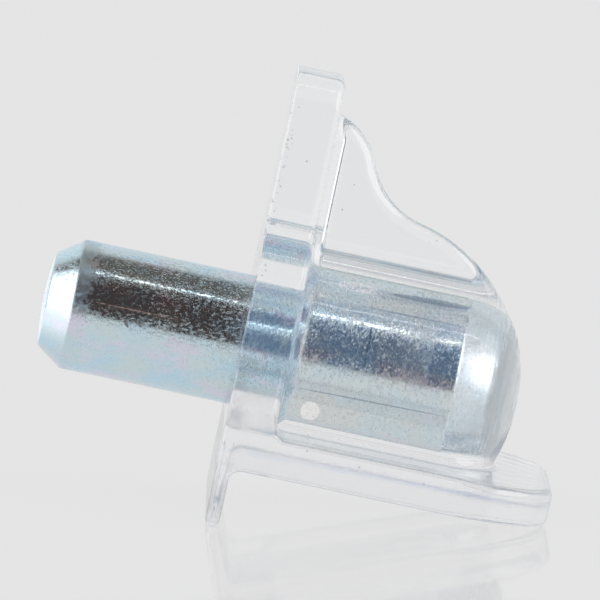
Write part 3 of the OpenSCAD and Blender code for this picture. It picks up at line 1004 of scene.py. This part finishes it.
# %% How pale the room is through the plastic
CLEARED, CLEARED_STRAIGHT = 0.66, 0.22
inside = tree.product(through, tree.less(1.0, first_mirror(tree, ray)))
straight = tree.math("LESS_THAN", ray["Glossy Depth"], 0.5)
cleared = tree.product(inside, tree.total(CLEARED, tree.product(straight, CLEARED_STRAIGHT)))
dark = tree.product(dark, tree.less(1.0, cleared))
print("studio with rays", len(tree.nodes), "nodes")

# %% [markdown]
# Each region then has its colours. The room is nearly black and a little warm low down, and lighter
# overhead. The boxes and the strip are brighter than white, as lamps are, and weaker for the rays that see
# the room paler. The camera itself sees a plain pale backdrop, and surfaces that don't mirror are lit by an
# even grey.

# %% Colours of the studio
LOW_ROOM, HIGH_ROOM, INSIDE_ROOM = (0.070, 0.048, 0.044), (0.14, 0.115, 0.095), (0.08, 0.12, 0.42)
DEEP_BLUE, DEEP_BLUE_HIGH, THROUGH_HIGH = (0.115, 0.165, 0.250), (0.175, 0.245, 0.345), (0.42, 0.50, 0.62)
SWEEP, THROUGH_SWEEP = (0.78, 0.79, 0.80), (0.815,) * 3
BACKDROP, EVEN_LIGHT = (0.783,) * 3, (0.62, 0.63, 0.65)
BOX, INSIDE_BOX = (2.10, 2.00, 2.05), (1.0, 1.0, 1.05)
STRIP, THROUGH_STRIP, INSIDE_STRIP = (5.0,) * 3, (9.0,) * 3, (1.2,) * 3

deep_room = tree.mix(tree.ramp(turn, 48, 66), DEEP_BLUE, DEEP_BLUE_HIGH)
low_room, high_room = tree.mix(through, LOW_ROOM, deep_room), tree.mix(through, HIGH_ROOM, THROUGH_HIGH)
room = tree.paint(low_room, (tree.ramp(turn, 72, 78), high_room), (inside, INSIDE_ROOM))
shown = tree.paint(
    tree.mix(through, SWEEP, THROUGH_SWEEP),
    (dark, room),
    (boxes, tree.mix(inside, BOX, INSIDE_BOX)),
    (strip, tree.mix(inside, tree.mix(through, STRIP, THROUGH_STRIP), INSIDE_STRIP)),
)
mirrored = tree.largest(ray["Is Glossy Ray"], through)
seen = tree.paint(EVEN_LIGHT, (mirrored, shown), (ray["Is Camera Ray"], BACKDROP))
glow = tree.add("ShaderNodeBackground", {"Color": seen, "Strength": 1.0})
tree.put(output.inputs["Surface"], glow.outputs[0])
world.cycles.sampling_method = "NONE"
print("world", len(tree.nodes), "nodes")

# %% [markdown]
# Two soft area lamps stand where the world has its boxes. They light the floor and give the object its
# shadows. Mirrored and bent rays don't see them, because the world already shows the boxes there.

# %% Lamps
LAMP_AIM = Vector((-2.6, 0, -2.0)) * MM
LAMP_DISTANCE, LAMP_TURN, LAMP_POWER = 0.5, 50, 1.0


def studio_direction(turn_degrees, aside):
    """A direction by its turn up from the front horizon, and how far it leans to the right."""
    t = math.radians(turn_degrees)
    return (-AWAY * math.cos(t) + UP * math.sin(t)) * math.sqrt(1 - aside ** 2) + RIGHT * aside


def area_lamp(name, direction, width, height):
    """An area lamp that faces the object from a direction, with its width level."""
    lamp = bpy.data.lights.new(name, "AREA")
    lamp.shape = "RECTANGLE"
    lamp.size, lamp.size_y = width, height
    lamp.energy = LAMP_POWER
    holder = bpy.data.objects.new(name, lamp)
    bpy.context.scene.collection.objects.link(holder)
    holder.visible_glossy = holder.visible_transmission = False
    back_axis = direction.normalized()
    x_axis = (RIGHT - back_axis * RIGHT.dot(back_axis)).normalized()
    turn = Matrix((x_axis, back_axis.cross(x_axis), back_axis)).transposed()
    holder.matrix_world = Matrix.Translation(LAMP_AIM + back_axis * LAMP_DISTANCE) @ turn.to_4x4()


area_lamp("left_box", studio_direction(LAMP_TURN, -0.88), 0.4, 0.3)
area_lamp("right_box", studio_direction(LAMP_TURN, 0.8), 0.36, 0.3)
print("lamps", len(bpy.data.lights))

# %% [markdown]
# The camera looks at the bracket's side from a little above the floor, through a long lens from far away,
# so that the object's lines stay almost parallel. The lens follows from how wide a view it must take in at
# that distance. The place where the pin leaves the plate lies a little left of the view's middle, and below
# it.

# %% Camera
ELEVATION, AZIMUTH, ROLL = (math.radians(v) for v in (6.3, 0.5, 1.8))
DISTANCE, VIEW_WIDTH, SENSOR_WIDTH = 0.34, 22.8137 * MM, 36
AIM_RIGHT, AIM_UP = 2.281 * MM, 1.494 * MM

level_look = AWAY * math.cos(AZIMUTH) + RIGHT * math.sin(AZIMUTH)
look = level_look * math.cos(ELEVATION) - UP * math.sin(ELEVATION)
plain_right = look.cross(UP).normalized()
plain_up = plain_right.cross(look)
cam_right = plain_right * math.cos(ROLL) + plain_up * math.sin(ROLL)
cam_up = plain_up * math.cos(ROLL) - plain_right * math.sin(ROLL)
aim = cam_right * AIM_RIGHT + cam_up * AIM_UP
camera = bpy.data.objects.new("camera", bpy.data.cameras.new("camera"))
bpy.context.scene.collection.objects.link(camera)
camera.data.sensor_width = SENSOR_WIDTH
camera.data.lens = SENSOR_WIDTH * DISTANCE / VIEW_WIDTH
camera.data.clip_start, camera.data.clip_end = 0.01, 20
camera_turn = Matrix((cam_right, cam_up, -look)).transposed().to_4x4()
camera.matrix_world = Matrix.Translation(aim - look * DISTANCE) @ camera_turn
bpy.context.scene.camera = camera
print("camera lens", round(camera.data.lens, 1))

# %% [markdown]
# Clear plastic bends and mirrors a ray many times before it comes out, so the limits on bounces are high.
# With too few of them, thick places turn black.

# %% Colour, bounces and closing lines
bpy.context.scene.view_settings.view_transform = "Standard"
bpy.context.scene.cycles.max_bounces = 24
bpy.context.scene.cycles.glossy_bounces = 16
bpy.context.scene.cycles.transmission_bounces = 20
